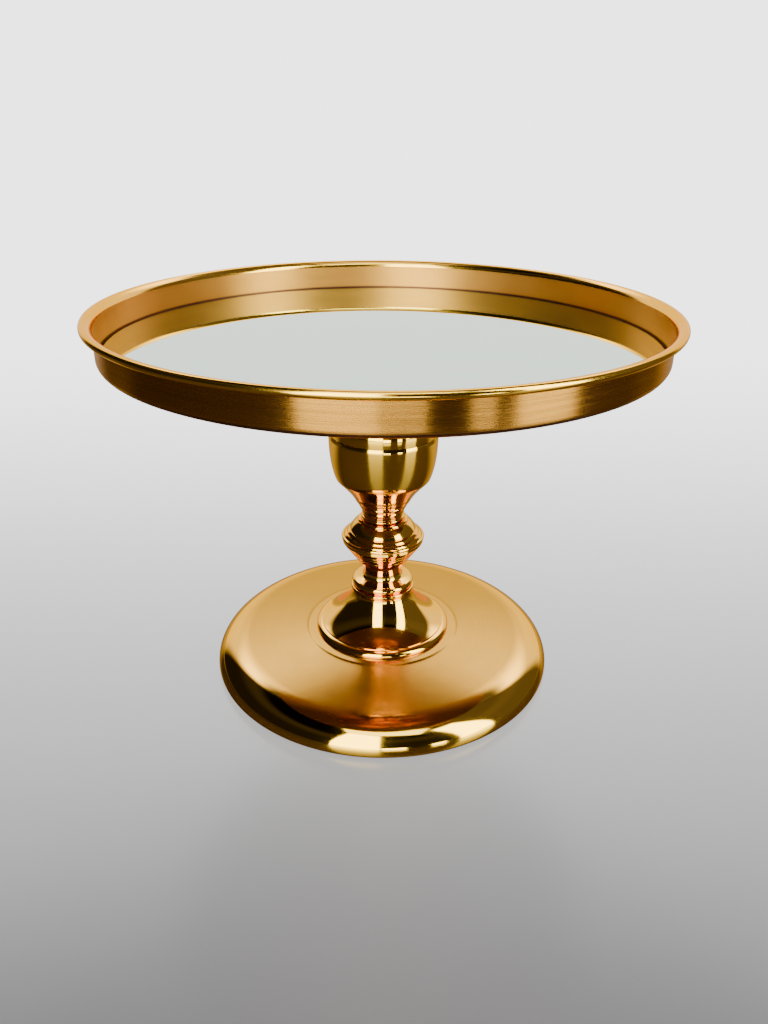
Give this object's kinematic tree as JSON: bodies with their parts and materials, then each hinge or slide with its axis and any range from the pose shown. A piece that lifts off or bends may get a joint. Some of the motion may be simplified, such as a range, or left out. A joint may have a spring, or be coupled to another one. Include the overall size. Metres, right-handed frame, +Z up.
{
  "type": "pedestal cake stand",
  "caption": "Round pedestal cake stand: a shallow mirror-floored tray with a rolled lip, on a turned baluster stem and a domed round base. The tray unscrews from the stem.",
  "frame": {"origin": "on the surface the stand rests on, under the stem's axis", "axes": "+Z up along the axis of the stem and tray; every round piece shares it, so X and Y are free"},
  "size_m": [0.3, 0.3, 0.2128],
  "materials": {
    "brushed_gold": "brushed gold-tone plating, lines running round",
    "polished_gold": "polished gold-tone plating",
    "satin_gold": "satin gold-tone plating, polished towards the rim",
    "mirror_glass": "silvered float glass, faint green tint",
    "clear_film": "adhesive film",
    "zinc_steel": "zinc plated",
    "black_rubber": "matte",
    "cast_iron": "rough casting",
    "black_felt": "pressed felt"
  },
  "bodies": {
    "pedestal": {"base_disc": "satin_gold", "base_weight": "cast_iron", "clamp_washer": "zinc_steel", "lock_washer": "zinc_steel", "base_nut": "zinc_steel", "foot_pad": "black_felt", "bell_foot": "polished_gold", "stem_bead": "polished_gold", "knop": "polished_gold", "stem_neck": "polished_gold", "stem_cup": "polished_gold", "cup_cover": "polished_gold", "tray_seat": "polished_gold", "coupling_nut": "zinc_steel", "tie_rod": "zinc_steel"},
    "washer": {"rubber_washer": "black_rubber"},
    "tray": {"tray_pan": "brushed_gold", "mirror_plate": "mirror_glass", "mirror_pad_1": "clear_film", "mirror_pad_2": "clear_film", "mirror_pad_3": "clear_film", "mirror_pad_4": "clear_film", "mirror_pad_5": "clear_film", "mirror_pad_6": "clear_film", "stud_plate": "zinc_steel", "tray_stud": "zinc_steel"}
  },
  "joints": [
    {"name": "tray_lift", "type": "slide", "parent": "pedestal", "child": "washer", "axis": [0, 0, 1], "range_m": [0, 0.0101]},
    {"name": "tray_turn", "type": "hinge", "parent": "washer", "child": "tray", "pos_m": [0, 0, 0.1924], "axis": [0, 0, 1], "range_deg": [0, 2880]}
  ],
  "couplings": [
    {"joint": "tray_lift", "follows": "tray_turn", "m_per_rad": 0.00019894}
  ]
}
